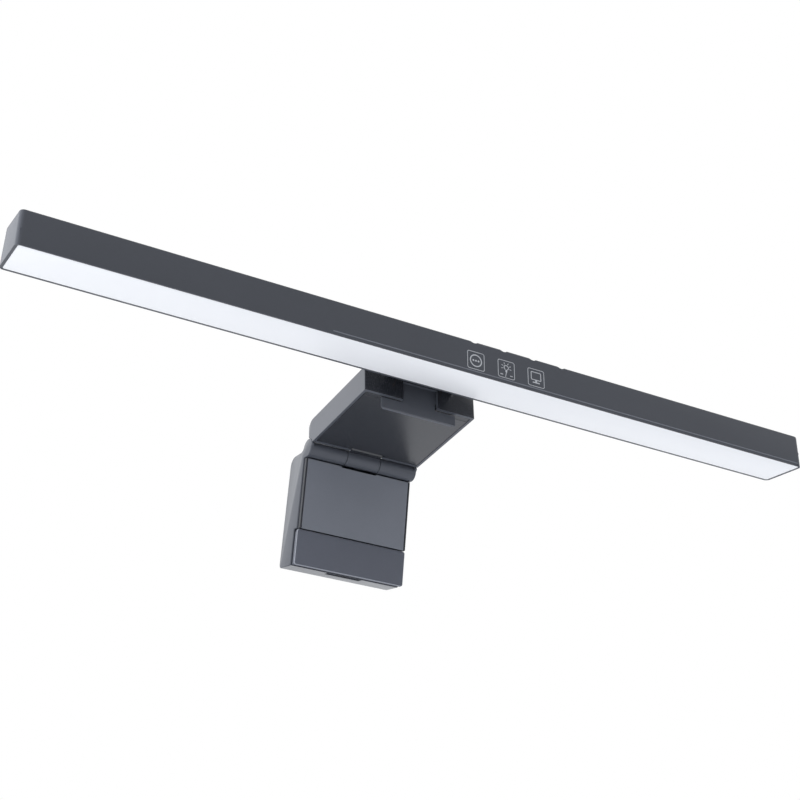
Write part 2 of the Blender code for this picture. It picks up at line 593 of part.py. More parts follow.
def build_usb_socket(axis):
    """A USB-C receptacle flush in the slot in the floor, on its own small board."""
    middle = (SLOT_Y[0] + SLOT_Y[1]) / 2
    thick = 3.0 * MM
    half = 4.4 * MM
    mouth = -56.0 * MM
    depth = 7.2 * MM

    def stadium(half_width, half_thick, z):
        bm = cuboid((-half_width, half_width), (middle - half_thick, middle + half_thick), z)
        sides = [edge for edge in bm.edges if abs(edge.verts[0].co.z - edge.verts[1].co.z) > 1e-6]
        bmesh.ops.bevel(bm, geom=sides, offset=half_thick * 0.92, segments=4, profile=0.5, affect='EDGES')
        return bm

    socket = part("usb_socket", stadium(half, thick / 2, (mouth, mouth + depth)), material(*STEEL), axis)
    cut(socket, stadium(half - 0.35 * MM, thick / 2 - 0.35 * MM, (mouth - MM, mouth + depth - 0.6 * MM)))
    join(socket, cuboid((-3.3 * MM, 3.3 * MM), (middle - 0.35 * MM, middle + 0.35 * MM),
                        (mouth + 0.8 * MM, mouth + depth - 0.3 * MM)))
    board_y = middle + thick / 2 + GAP
    board = part("inlet_board", cuboid((-8 * MM, 8 * MM), (board_y, board_y + BOARD_THICK),
                                       (-54.6 * MM, -42.5 * MM)), material(*BOARD_GREEN), axis)
    chips = [((-6, -3), (-47, -44)), ((1, 5), (-48, -44)), ((-6, -4), (-52, -49))]
    for (x0, x1), (z0, z1) in chips:
        join(board, cuboid((x0 * MM, x1 * MM), (board_y + BOARD_THICK - OVERLAP, board_y + 2.1 * MM),
                           (z0 * MM, z1 * MM)))


# ---------------------------------------------------------------- bar

def bar_section(inset, bottom_drop=0.0):
    """The bar's four-cornered section, moved in by a wall thickness on three sides."""
    bottom = BAR_BOTTOM_Z - bottom_drop
    front_slope = BAR_FRONT_LEAN / BAR_FRONT_HEIGHT
    rear_slope = BAR_REAR_LEAN / BAR_REAR_HEIGHT
    top_front = BAR_BOTTOM_Z + BAR_FRONT_HEIGHT - inset
    top_rear = BAR_BOTTOM_Z + BAR_REAR_HEIGHT - inset
    front = BAR_FRONT_Y + inset
    rear = BAR_REAR_Y - inset
    return [(front - bottom_drop * front_slope, bottom), (rear + bottom_drop * rear_slope, bottom),
            (rear - (top_rear - BAR_BOTTOM_Z) * rear_slope, top_rear),
            (front + (top_front - BAR_BOTTOM_Z) * front_slope, top_front)]


def is_upright(edge):
    return abs(edge.verts[0].co.x - edge.verts[1].co.x) < 1e-6 and edge_drop(edge) > 10 * MM


def edge_drop(edge):
    return abs(edge.verts[0].co.z - edge.verts[1].co.z)


def on_top(edge):
    return min(vert.co.z for vert in edge.verts) > BAR_TOP_Z - MM


def build_bar_housing(axis):
    """One tray with closed ends, open below for the diffuser."""
    half = BAR_LENGTH / 2
    body = extruded(bar_section(0.0), (-half, half))
    rounded(body, BAR_END_ROUND, 4, lambda edge: not is_upright(edge))
    rounded(body, BAR_TOP_ROUND, 3, lambda edge: not on_top(edge))
    housing = part("bar_housing", body, material(*ALLOY), axis)
    inner = half - BAR_WALL
    cut(housing, extruded(bar_section(BAR_WALL, MM), (-inner, inner)))
    cut(housing, cuboid((-inner, inner), (BAR_FRONT_Y + FRONT_RIM, BAR_FRONT_Y + 3 * MM),
                        (BAR_BOTTOM_Z - MM, BAR_BOTTOM_Z + DIFFUSER_THICK + DIFFUSER_GAP)))
    cut(housing, merged(*finger_dips()))
    for side in (-1, 1):
        x, z = side * SADDLE_SCREW[0], SADDLE_SCREW[1]
        cut(housing, rod((x, BAR_REAR_Y - 6 * MM, z), (x, BAR_REAR_Y + 2 * MM, z), SADDLE_HOLE_R, 20))
    # Two ledges inside carry the heat spreader.
    ledge_z = (LEDGE_Z, LEDGE_Z + LEDGE_THICK)
    for ledge_y in ((BAR_FRONT_Y + MM, BAR_FRONT_Y + 4 * MM), (BAR_REAR_Y - 4 * MM, BAR_REAR_Y - MM)):
        join(housing, cuboid((-inner - OVERLAP, inner + OVERLAP), ledge_y, ledge_z))


def finger_dips():
    """Grooves across the top's front edge, one over each touch pad."""
    grooves = []
    for i in range(DIP_COUNT):
        x = DIP_X + i * DIP_PITCH
        z = BAR_TOP_Z - DIP_DEPTH + DIP_R
        grooves.append(rod((x, BAR_FRONT_Y - MM, z), (x, BAR_FRONT_Y + DIP_REACH, z + DIP_RISE), DIP_R, 40))
    return grooves


def build_diffuser(axis):
    inset = BAR_WALL + DIFFUSER_GAP
    half = BAR_LENGTH / 2 - inset
    front = BAR_FRONT_Y + FRONT_RIM + DIFFUSER_GAP
    rear = BAR_REAR_Y - inset - 0.1 * MM
    part("diffuser", cuboid((-half, half), (front, rear), (BAR_BOTTOM_Z, BAR_BOTTOM_Z + DIFFUSER_THICK)),
         material(*DIFFUSER), axis)


def build_light_engine(axis):
    """LED strip, heat spreader and the two reflectors above the diffuser."""
    length = BAR_LENGTH / 2 - 4 * MM
    board_y = (-23.0 * MM, -11.0 * MM)
    spreader_y = (-27.2 * MM, -7.6 * MM)
    spreader_low = LEDGE_Z + LEDGE_THICK + GAP
    spreader_z = (spreader_low, spreader_low + SPREADER_THICK)
    part("heat_spreader", cuboid((-length, length), spreader_y, spreader_z), material(*ALUMINIUM), axis)
    board_top = spreader_low - GAP
    board_low = board_top - BOARD_THICK
    board = part("led_board", cuboid((-length, length), board_y, (board_low, board_top)),
                 material(*BOARD_WHITE), axis)
    leds = []
    pitch = 2 * (length - 5 * MM) / (LED_COUNT - 1)
    for i in range(LED_COUNT):
        x = -length + 5 * MM + i * pitch
        leds.append(cuboid((x - 1.4 * MM, x + 1.4 * MM), (-18.7 * MM, -15.3 * MM),
                           (board_low - 0.7 * MM, board_low + OVERLAP)))
    join(board, merged(*leds))
    floor = BAR_BOTTOM_Z + DIFFUSER_THICK + GAP
    roof = board_low - 0.4 * MM
    wing = 0.6 * MM
    front = [(-28.2 * MM, floor), (-28.2 * MM + wing, floor), (-20.0 * MM, roof), (-20.0 * MM - wing, roof)]
    rear = [(-6.8 * MM - wing, floor), (-6.8 * MM, floor), (-14.0 * MM + wing, roof), (-14.0 * MM, roof)]
    part("reflector_front", extruded(front, (-length, length)), material(*REFLECTIVE), axis)
    part("reflector_rear", extruded(rear, (-length, length)), material(*REFLECTIVE), axis)


def build_bar_boards(axis):
    """The touch board under the keys and the driver beside it."""
    roof = BAR_TOP_Z - BAR_WALL
    touch = part("touch_board", cuboid((2 * MM, 60 * MM), (-26.5 * MM, -15 * MM),
                                       (roof - 2.0 * MM, roof - 1.0 * MM)), material(*BOARD_GREEN), axis)
    pads = []
    for i in range(DIP_COUNT):
        x = DIP_X + i * DIP_PITCH
        pads.append(cuboid((x - 5 * MM, x + 5 * MM), (-25.5 * MM, -17 * MM),
                           (roof - 1.0 * MM - OVERLAP, roof - 0.6 * MM)))
    join(touch, merged(*pads))
    driver = part("driver_board", cuboid((-70 * MM, -22 * MM), (-25 * MM, -11 * MM), (5.4 * MM, 6.4 * MM)),
                  material(*BOARD_GREEN), axis)
    blocks = [((-66, -60), (-22, -16), 2.4), ((-56, -50), (-23, -17), 1.6), ((-46, -42), (-20, -14), 2.0),
              ((-38, -30), (-22, -15), 1.2)]
    tops = [cuboid((x0 * MM, x1 * MM), (y0 * MM, y1 * MM), (6.4 * MM - OVERLAP, (6.4 + high) * MM))
            for (x0, x1), (y0, y1), high in blocks]
    join(driver, merged(*tops))
    route = [(-20, -18, 6), (-12, -17, 5.4), (-4, -18, 6), (0, -19, 7.2)]
    wire("bar_lead", route, 0.8 * MM, material(*WIRE_BLACK), axis)


def build_saddle(axis):
    """The bracket on the bar's back wall, with the tilt hinge's middle knuckle."""
    slope = BAR_REAR_LEAN / BAR_REAR_HEIGHT
    near = GAP
    far = GAP + SADDLE_THICK

    def wall_y(z, away):
        return BAR_REAR_Y - (z - BAR_BOTTOM_Z) * slope + away

    low, high = SADDLE_Z
    outline = [(wall_y(low, near), low), (wall_y(low, far), low), (wall_y(high, far), high),
               (wall_y(high, near), high)]
    saddle = part("tilt_saddle", extruded(outline, (-SADDLE_HALF, SADDLE_HALF)), material(*DARK_STEEL), axis)
    join(saddle, rod_x((-SADDLE_KNUCKLE_HALF, SADDLE_KNUCKLE_HALF), 0, 0, TILT_R))
    join(saddle, cuboid((-SADDLE_KNUCKLE_HALF, SADDLE_KNUCKLE_HALF),
                        (wall_y(0, near + OVERLAP), 0), (-1.8 * MM, 1.8 * MM)))
    cut(saddle, rod_x((-SADDLE_KNUCKLE_HALF - MM, SADDLE_KNUCKLE_HALF + MM), 0, 0, TILT_PIN_R + RUN))
    for side in (-1, 1):
        x, z = side * SADDLE_SCREW[0], SADDLE_SCREW[1]
        cut(saddle, rod((x, BAR_REAR_Y - 6 * MM, z), (x, 0, z), SADDLE_HOLE_R, 20))
        head_y = BAR_REAR_Y - BAR_REAR_LEAN - BAR_WALL - GAP - HEAD_THICK
        screw("saddle_screw_" + side_name(side), (x, head_y, z), (0, 1, 0),
              SCREW_R, 3.4 * MM, HEAD_R, HEAD_THICK, material(*STEEL), axis)
        washer_x = sorted((side * (SADDLE_KNUCKLE_HALF + 0.2 * MM), side * (LUG_INNER - 0.2 * MM)))
        washer = part("friction_washer_" + side_name(side), rod_x(washer_x, 0, 0, 2.7 * MM),
                      material(*BRONZE), axis)
        cut(washer, rod_x((washer_x[0] - MM, washer_x[1] + MM), 0, 0, TILT_PIN_R + RUN))
    pin = part("tilt_pin", rod_x((-LUG_OUTER - GAP - 0.8 * MM, -LUG_OUTER - GAP), 0, 0, 2.3 * MM),
               material(*STEEL), axis)
    join(pin, rod_x((-LUG_OUTER - GAP - OVERLAP, LUG_OUTER + 1.9 * MM), 0, 0, TILT_PIN_R))
    nut = part("tilt_nut", rod_x((LUG_OUTER + GAP, LUG_OUTER + 1.7 * MM), 0, 0, 2.4 * MM, 6),
               material(*STEEL), axis)
    cut(nut, rod_x((LUG_OUTER, LUG_OUTER + 3 * MM), 0, 0, TILT_PIN_R + RUN))


def build_bar(axis):
    build_bar_housing(axis)
    build_diffuser(axis)
    build_light_engine(axis)
    build_bar_boards(axis)
    build_saddle(axis)


def main():
    clear_scene()
    clamp_axis = axis_empty("clamp_hinge_axis", HINGE_Y, HINGE_Z, LEAN)
    tilt_axis = axis_empty("bar_tilt_axis", TILT_Y, TILT_Z, BAR_PITCH)
    build_arm()
    build_weight(clamp_axis)
    build_bar(tilt_axis)


main()
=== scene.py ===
"""The looks of the monitor light bar: finished shells, materials, soft studio light and camera.

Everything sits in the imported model's frame, in metres. The arm, the bar and the counterweight are
the three bodies; a place on the bar or on the counterweight is worked out in its hinge's own frame.
"""
import json
import math

import bmesh
import bpy
from mathutils import Matrix, Vector


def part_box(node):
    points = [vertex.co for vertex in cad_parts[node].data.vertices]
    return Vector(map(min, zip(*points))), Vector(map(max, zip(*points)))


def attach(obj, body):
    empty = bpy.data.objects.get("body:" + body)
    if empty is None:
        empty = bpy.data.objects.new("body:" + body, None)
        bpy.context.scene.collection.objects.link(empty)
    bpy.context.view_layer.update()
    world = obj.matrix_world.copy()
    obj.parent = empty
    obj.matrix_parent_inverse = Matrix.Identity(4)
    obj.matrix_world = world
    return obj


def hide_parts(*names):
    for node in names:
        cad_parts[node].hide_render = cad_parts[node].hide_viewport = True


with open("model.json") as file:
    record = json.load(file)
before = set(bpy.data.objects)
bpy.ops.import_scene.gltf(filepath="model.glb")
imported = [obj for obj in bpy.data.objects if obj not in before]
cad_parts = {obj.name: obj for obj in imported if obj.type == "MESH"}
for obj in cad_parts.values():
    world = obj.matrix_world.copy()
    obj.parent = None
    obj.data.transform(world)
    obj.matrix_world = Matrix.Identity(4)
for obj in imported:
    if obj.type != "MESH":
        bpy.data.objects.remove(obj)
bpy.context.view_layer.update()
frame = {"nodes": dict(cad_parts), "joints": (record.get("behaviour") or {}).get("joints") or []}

MM = 0.001
SAME_PLACE = 1e-6           # places closer than this count as one

# Camera: place, turn and lens of the view that the object is shown in
CAMERA_AT = (-0.30367, -0.54318, -0.35676)
CAMERA_TURN = (120.963, 0.997, -28.957)
LENS = 68.17
SENSOR = 36.0
CLIP_START = 0.01

# Studio light: an even level, and ramps of (axis, start, end, amount) over the direction it comes from
LIGHT_COLOR = (0.97, 0.98, 1.0, 1.0)
WORLD_BASE = 0.27
WORLD_RAMPS = (
    ("X", -0.35, -0.98, 0.70),
    ("Y", -0.15, 0.65, 0.95),
    ("Z", 0.00, 0.90, 0.50),
    ("X", 0.30, 0.95, 0.45),
)
FLOOR_Z = -0.70
FLOOR_HALF = 4.0
FLOOR_THICK = 0.01

# Lamp beside the bar's left end
END_LIGHT_AT = (-0.40, -0.05, 0.015)
END_LIGHT_SIZE = 0.05
END_LIGHT_WATTS = 0.45
END_LIGHT_COLOR = (0.95, 0.96, 1.0)

# Surfaces: the sum of the two noises lies mostly in this range
NOISE_LOW = 0.6
NOISE_HIGH = 1.4
GLOSS_DRIFT = 0.05
RELIEF_STRENGTH = 0.5

# Smooth shading breaks at edges sharper than these, in degrees
SHARP = 35
SHARP_HOUSING = 32
SHARP_PAD = 50

# Finished copies of CAD nodes: points are welded, flat faces joined and sharp edges broken
WELD_DISTANCE = 2e-6
FLAT_ANGLE = math.radians(1.0)
BREAK_SEGMENTS = 2
BREAK_ANGLE = math.radians(40)
POLISHED = {                # body, material and width of the broken edges
    "arm_shell": ("arm", "arm", 0.12 * MM),
    # the arm cover's very dark coating is painted shade under the arm
    "arm_cover": ("arm", "rest", 0.15 * MM),
    "front_lip": ("arm", "bar", 0.30 * MM),
    "hinge_leaf": ("arm", "arm", 0.12 * MM),
    "weight_housing": ("counterweight", "arm", 0.12 * MM),
    "inner_tray": ("counterweight", "tray", 0.10 * MM),
    "front_panel": ("counterweight", "panel", 0.15 * MM),
}

# Arm
TILT_REACH = 7.6 * MM       # the tilt lugs stand this far in front of the shell's front wall
LUG_FACING = -0.9           # a lug's front faces are turned to the front at least this much
LEAF_BEND_Y = 28.0 * MM     # faces of the hinge leaf in front of this get the very dark coating as painted shade

# Bar, in the tilt hinge's frame
BAR_PITCH = math.radians(9.6)
BAR_LENGTH = 400.0 * MM
BAR_FRONT_Y = -30.35 * MM
BAR_BOTTOM_Z = -6.05 * MM
BAR_DEPTH = 25.8 * MM
BAR_FRONT_HEIGHT = 17.0 * MM
BAR_REAR_HEIGHT = 17.8 * MM
BAR_FRONT_LEAN = 2.1 * MM
BAR_REAR_LEAN = 1.3 * MM
BAR_WALL = 1.2 * MM
BAR_CORNER_TALL = 10 * MM   # the upright corners of the housing are taller than this
BAR_END_ROUND = 2.2 * MM
BAR_TOP_ROUND = 1.0 * MM
RIM_HEIGHT = 1.5 * MM       # the band beside the diffuser sits a little behind the front face
RIM_STEP = 0.25 * MM
RIM_SLOPE = 0.35 * MM       # height of the chamfer between the two, painted paler as a painted highlight
SLOPE_FORWARD = -0.2        # the chamfer's normal points forward and down at least this much
SLOPE_DOWN = -0.3
RIM_START = -62.0 * MM      # the band runs from here to the right end
FRONT_RIM = 0.4 * MM
DIFFUSER_THICK = 1.5 * MM
DIFFUSER_GAP = 0.12 * MM
DIFFUSER_CORNER = 1 * MM
DIFFUSER_EDGE = 0.15 * MM
SEAT_DEPTH = 3 * MM         # the front wall is thinned this far back, to let the diffuser in
LEDGE_Z = 0.6 * MM
LEDGE_THICK = 1 * MM
LEDGE_SPAN = (1 * MM, 4 * MM)
LEDGE_INTO_WALL = 0.2 * MM
SADDLE_SCREW = (14.4 * MM, 5.6 * MM)
SADDLE_HOLE_R = 1.15 * MM
SADDLE_HOLE_SPAN = (-6 * MM, 2 * MM)
DIP_X = 8.8 * MM
DIP_PITCH = 15.75 * MM
DIP_COUNT = 4
DIP_R = 2.6 * MM
DIP_DEPTH = 1.1 * MM
DIP_RISE = 0.55 * MM        # over the dip's length, so it runs out on the top
DIP_REACH = 15.0 * MM

# Counterweight, in the clamp hinge's frame
WEIGHT_LEAN = math.radians(10.5)
PAD_HALF = 29.0 * MM
PAD_Y = 2.0 * MM
PAD_TOP = -39.65 * MM
PAD_BOTTOM = -57.0 * MM
PAD_THICK = 3.8 * MM
PAD_SKIN = 1.5 * MM
PAD_SINK = 0.3 * MM         # the body runs this far into the skin
PAD_INSET = 0.7 * MM
PAD_CORNER = 1.0 * MM
PAD_EDGE_ROUND = 0.35 * MM
PAD_FACING = -0.98          # the skin's flat front is turned to the front more than this

# Icons printed on the front face
ICON_X = 9.4 * MM
ICON_PITCH = 16.1 * MM
ICON_UP = 7.1 * MM          # height of their centres on the face
ICON_HALF = (4.35 * MM, 4.45 * MM)
ICON_CORNER = 0.9 * MM
STROKE = 0.30 * MM
PRINT_PROUD = 0.02 * MM
PRINT_THICK = 0.02 * MM
BULB_CENTRE = (0, 0.9 * MM)
BULB_R = 1.15 * MM
BULB_RAYS = (-15, 25, 65, 115, 155, 195)
RAY_SPAN = (1.75 * MM, 2.75 * MM)


# ---------------------------------------------------------------- mesh helpers

def joint_matrix(name, turn):
    """The frame of a hinge at rest: its pivot, turned about X."""
    joint = next(j for j in frame["joints"] if j["name"] == name)
    return Matrix.Translation(joint["pos_m"]) @ Matrix.Rotation(turn, 4, 'X')


def smooth(mesh, sharp):
    mesh.shade_smooth()
    mesh.set_sharp_from_angle(angle=math.radians(sharp))


def new_piece(name, bm, body, mat, place=Matrix.Identity(4)):
    """A piece that rides on a body; its mesh is built in a frame of its own and placed in the model's."""
    bmesh.ops.recalc_face_normals(bm, faces=bm.faces)
    mesh = bpy.data.meshes.new(name)
    bm.to_mesh(mesh)
    bm.free()
    mesh.transform(place)
    smooth(mesh, SHARP)
    mesh.materials.append(mat)
    obj = bpy.data.objects.new(name, mesh)
    bpy.context.scene.collection.objects.link(obj)
    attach(obj, body)
    return obj


def cuboid(x, y, z):
    size = Vector((x[1] - x[0], y[1] - y[0], z[1] - z[0]))
    centre = Vector((x[0] + x[1], y[0] + y[1], z[0] + z[1])) / 2
    bm = bmesh.new()
    bmesh.ops.create_cube(bm, size=1.0, matrix=Matrix.Translation(centre) @ Matrix.Diagonal((*size, 1.0)))
    return bm


def rod(start, end, radius, sides):
    start, end = Vector(start), Vector(end)
    turn = (end - start).to_track_quat('Z', 'Y').to_matrix().to_4x4()
    bm = bmesh.new()
    bmesh.ops.create_cone(bm, cap_ends=True, segments=sides, radius1=radius, radius2=radius,
                          depth=(end - start).length,
                          matrix=Matrix.Translation((start + end) / 2) @ turn)
    return bm


def prism(outline, half):
    """A closed (y, z) outline, swept along X from -half to half."""
    bm = bmesh.new()
    near = [bm.verts.new((-half, y, z)) for y, z in outline]
    face = bm.faces.new(near)
    swept = bmesh.ops.extrude_face_region(bm, geom=[face])
    moved = [item for item in swept["geom"] if isinstance(item, bmesh.types.BMVert)]
    bmesh.ops.translate(bm, verts=moved, vec=(2 * half, 0, 0))
    return bm


def round_edges(bm, width, segments, wanted):
    edges = [edge for edge in bm.edges if wanted(edge)]
    bmesh.ops.bevel(bm, geom=edges, offset=width, segments=segments, profile=0.5, affect='EDGES')


def paint_faces(piece, mat, wanted):
    """A second material on the faces that the test picks, such as a painted highlight on a broken edge or
    painted shade on a wall.
    """
    piece.data.materials.append(mat)
    for face in piece.data.polygons:
        if wanted(face):
            face.material_index = len(piece.data.materials) - 1


def carve(obj, bm, operation='DIFFERENCE'):
    """Cut a shape from a piece, or join it on, and keep the result as the piece's mesh."""
    bmesh.ops.recalc_face_normals(bm, faces=bm.faces)
    mesh = bpy.data.meshes.new("tool")
    bm.to_mesh(mesh)
    bm.free()
    tool = bpy.data.objects.new("tool", mesh)
    bpy.context.scene.collection.objects.link(tool)
    modifier = obj.modifiers.new("carve", 'BOOLEAN')
    modifier.operation = operation
    modifier.solver = 'EXACT'
    modifier.object = tool
    done = bpy.data.meshes.new_from_object(obj.evaluated_get(bpy.context.evaluated_depsgraph_get()))
    obj.modifiers.clear()
    old = obj.data
    obj.data = done
    bpy.data.meshes.remove(old)
    bpy.data.objects.remove(tool)
    bpy.data.meshes.remove(mesh)


# ---------------------------------------------------------------- materials

def surface(name, color, roughness, metallic=0.0, grain=0.02 * MM, grain_size=0.35 * MM, shade=0.06,
            cloud_size=30 * MM, specular=0.5):
    """A finished surface: fine grain in its relief, small drifts in its colour and its gloss."""
    mat = bpy.data.materials.new(name)
    mat.use_nodes = True
    nodes, links = mat.node_tree.nodes, mat.node_tree.links
    shader = nodes["Principled BSDF"]
    shader.inputs["Metallic"].default_value = metallic
    shader.inputs["Specular IOR Level"].default_value = specular
    where = nodes.new("ShaderNodeTexCoord")

    def noise(size, detail):
        node = nodes.new("ShaderNodeTexNoise")
        node.inputs["Scale"].default_value = 1.0 / size
        node.inputs["Detail"].default_value = detail
        links.new(where.outputs["Object"], node.inputs["Vector"])
        return node

    clouds = noise(cloud_size, 3.0)
    specks = noise(grain_size, 2.0)
    both = nodes.new("ShaderNodeMath")
    both.operation = 'ADD'
    links.new(clouds.outputs["Fac"], both.inputs[0])
    links.new(specks.outputs["Fac"], both.inputs[1])
    tint = nodes.new("ShaderNodeMapRange")
    tint.inputs["From Min"].default_value = NOISE_LOW
    tint.inputs["From Max"].default_value = NOISE_HIGH
    links.new(both.outputs["Value"], tint.inputs["Value"])
    mix = nodes.new("ShaderNodeMix")
    mix.data_type = 'RGBA'
    mix.inputs["A"].default_value = (*(channel * (1 - shade) for channel in color), 1.0)
    mix.inputs["B"].default_value = (*(min(1.0, channel * (1 + shade)) for channel in color), 1.0)
    links.new(tint.outputs["Result"], mix.inputs["Factor"])
    links.new(mix.outputs["Result"], shader.inputs["Base Color"])

    gloss = nodes.new("ShaderNodeMapRange")
    gloss.inputs["To Min"].default_value = max(GLOSS_DRIFT, roughness - GLOSS_DRIFT)
    gloss.inputs["To Max"].default_value = min(1.0, roughness + GLOSS_DRIFT)
    links.new(specks.outputs["Fac"], gloss.inputs["Value"])
    links.new(gloss.outputs["Result"], shader.inputs["Roughness"])

    bump = nodes.new("ShaderNodeBump")
    bump.inputs["Strength"].default_value = RELIEF_STRENGTH
    bump.inputs["Distance"].default_value = grain
    links.new(specks.outputs["Fac"], bump.inputs["Height"])
    links.new(bump.outputs["Normal"], shader.inputs["Normal"])
    return mat


def make_materials():
    return {
        "bar": surface("bar_coating", (0.066, 0.072, 0.087), 0.46),
        # Painted highlight: a pale coating for the rubber pad's rounded front edges.
        "edge": surface("painted_highlight_edge", (0.340, 0.358, 0.400), 0.35, 0.2),
        "arm": surface("arm_coating", (0.078, 0.085, 0.102), 0.30, specular=0.4),
        # Painted shade: a much darker copy of the arm coating, for the underside cover and for faces in shade
        # under the bar and the arm.
        "rest": surface("rest_coating", (0.020, 0.022, 0.028), 0.26, specular=0.9),
        "panel": surface("panel_coating", (0.186, 0.199, 0.230), 0.40),
        "tray": surface("tray_plastic", (0.030, 0.033, 0.040), 0.50, grain_size=0.5 * MM),
        "rubber": surface("pad_rubber", (0.108, 0.117, 0.144), 0.55, grain=0.04 * MM, grain_size=0.5 * MM),
        "diffuser": surface("opal_diffuser", (0.93, 0.94, 0.955), 0.40, grain=0.005 * MM, shade=0.012),
        "print": surface("icon_print", (0.55, 0.57, 0.60), 0.55, grain=0.003 * MM),
        "steel": surface("plain_steel", (0.56, 0.57, 0.59), 0.32, 1.0, grain=0.01 * MM),
        "dark_steel": surface("black_steel", (0.050, 0.054, 0.062), 0.45, 0.6),
        "socket": surface("black_socket", (0.030, 0.032, 0.038), 0.50, 0.5),
        "black_board": surface("board_black", (0.020, 0.022, 0.026), 0.50),
        "bronze": surface("bush_bronze", (0.50, 0.33, 0.16), 0.35, 1.0),
        "aluminium": surface("plain_aluminium", (0.70, 0.71, 0.73), 0.38, 1.0),
        "reflector": surface("reflector_white", (0.85, 0.85, 0.84), 0.25, grain=0.005 * MM, shade=0.01),
        "green_board": surface("board_green", (0.03, 0.16, 0.08), 0.45),
        "white_board": surface("board_white", (0.80, 0.80, 0.78), 0.45, shade=0.02),
        "wire": surface("wire_sleeve", (0.02, 0.02, 0.02), 0.50),
    }


NODE_MATERIALS = {
    "arm": ("arm_shell", "hinge_leaf", "weight_housing"),
    # the arm cover's very dark coating is painted shade under the arm
    "rest": ("arm_cover",),
    "panel": ("front_panel",),
    "tray": ("inner_tray",),
    "rubber": ("lip_pad", "rubber_pad"),
    "bar": ("bar_housing", "front_lip"),
    "diffuser": ("diffuser",),
    "dark_steel": ("steel_weight", "tilt_saddle", "tray_screw_1", "tray_screw_2", "tray_screw_3",
                   "tray_screw_4"),
    "bronze": ("hinge_bush", "friction_washer_left", "friction_washer_right"),
    "aluminium": ("heat_spreader",),
    "reflector": ("reflector_front", "reflector_rear"),
    "green_board": ("touch_board", "driver_board"),
    "black_board": ("inlet_board",),
    "socket": ("usb_socket",),
    "white_board": ("led_board",),
    "wire": ("arm_lead", "bar_lead", "weight_lead"),
}


def dress_nodes(mats):
    """Gives every CAD node its material; what isn't listed is steel."""
    chosen = {node: key for key, names in NODE_MATERIALS.items() for node in names}
    for name, obj in frame["nodes"].items():
        mat = mats[chosen.get(name, "steel")]
        if not obj.material_slots:
            obj.data.materials.append(mat)
        for place in obj.material_slots:
            place.material = mat


def polished(node, body, mat, width):
    """A finished copy of a CAD node: welded, smooth and with its sharp edges broken."""
    bm = bmesh.new()
    bm.from_mesh(frame["nodes"][node].data)
    bmesh.ops.remove_doubles(bm, verts=bm.verts, dist=WELD_DISTANCE)
    bmesh.ops.dissolve_limit(bm, angle_limit=FLAT_ANGLE, verts=bm.verts, edges=bm.edges)
    piece = new_piece(node + "_finished", bm, body, mat)
    bevel = piece.modifiers.new("broken_edges", 'BEVEL')
    bevel.width = width
    bevel.segments = BREAK_SEGMENTS
    bevel.limit_method = 'ANGLE'
    bevel.angle_limit = BREAK_ANGLE
    bevel.use_clamp_overlap = True
    bevel.harden_normals = True
    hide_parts(node)
    return piece


# ---------------------------------------------------------------- bar

def bar_outline(inset, drop=0.0):
    """The bar's section in the tilt hinge's frame, moved in by inset and run on below by drop."""
    front_slope = BAR_FRONT_LEAN / BAR_FRONT_HEIGHT
    rear_slope = BAR_REAR_LEAN / BAR_REAR_HEIGHT
    front = BAR_FRONT_Y + inset
    rear = BAR_FRONT_Y + BAR_DEPTH - inset
    top_front = BAR_FRONT_HEIGHT - inset
    top_rear = BAR_REAR_HEIGHT - inset
    return [(front - drop * front_slope, BAR_BOTTOM_Z - drop),
            (rear + drop * rear_slope, BAR_BOTTOM_Z - drop),
            (rear - top_rear * rear_slope, BAR_BOTTOM_Z + top_rear),
            (front + top_front * front_slope, BAR_BOTTOM_Z + top_front)]


def carve_rim(housing, mats):
    """Sets the band below the front face back, with a small slope that leads out to the face; the slope gets
    the paler panel coating as a painted highlight.
    """
    slope = BAR_FRONT_LEAN / BAR_FRONT_HEIGHT
    slope_top = RIM_HEIGHT + RIM_SLOPE
    step = [(BAR_FRONT_Y - MM, BAR_BOTTOM_Z - MM),
            (BAR_FRONT_Y + RIM_STEP - MM * slope, BAR_BOTTOM_Z - MM),
            (BAR_FRONT_Y + RIM_STEP + RIM_HEIGHT * slope, BAR_BOTTOM_Z + RIM_HEIGHT),
            (BAR_FRONT_Y + slope_top * slope, BAR_BOTTOM_Z + slope_top),
            (BAR_FRONT_Y - MM, BAR_BOTTOM_Z + slope_top)]
    end = BAR_LENGTH / 2 - BAR_END_ROUND
    middle = (RIM_START + end) / 2
    rim = prism(step, end - middle)
    bmesh.ops.translate(rim, verts=rim.verts, vec=(middle, 0, 0))
    carve(housing, rim)
    # Painted highlight: the chamfer gets the paler panel coating, standing for the light it catches from
    # below.
    paint_faces(housing, mats["panel"],
                lambda face: face.normal.y < SLOPE_FORWARD and face.normal.z < SLOPE_DOWN
                and face.center.z > BAR_BOTTOM_Z + RIM_HEIGHT)


def carve_dips(housing):
    """Round grooves in the top's front edge that run out backward on the top."""
    z = BAR_BOTTOM_Z + BAR_FRONT_HEIGHT - DIP_DEPTH + DIP_R
    for i in range(DIP_COUNT):
        x = DIP_X + i * DIP_PITCH
        carve(housing, rod((x, BAR_FRONT_Y - MM, z), (x, BAR_FRONT_Y + DIP_REACH, z + DIP_RISE), DIP_R, 64))


def carve_saddle_holes(housing):
    rear = BAR_FRONT_Y + BAR_DEPTH
    start, end = SADDLE_HOLE_SPAN
    for side in (-1, 1):
        x, z = side * SADDLE_SCREW[0], SADDLE_SCREW[1]
        carve(housing, rod((x, rear + start, z), (x, rear + end, z), SADDLE_HOLE_R, 24))


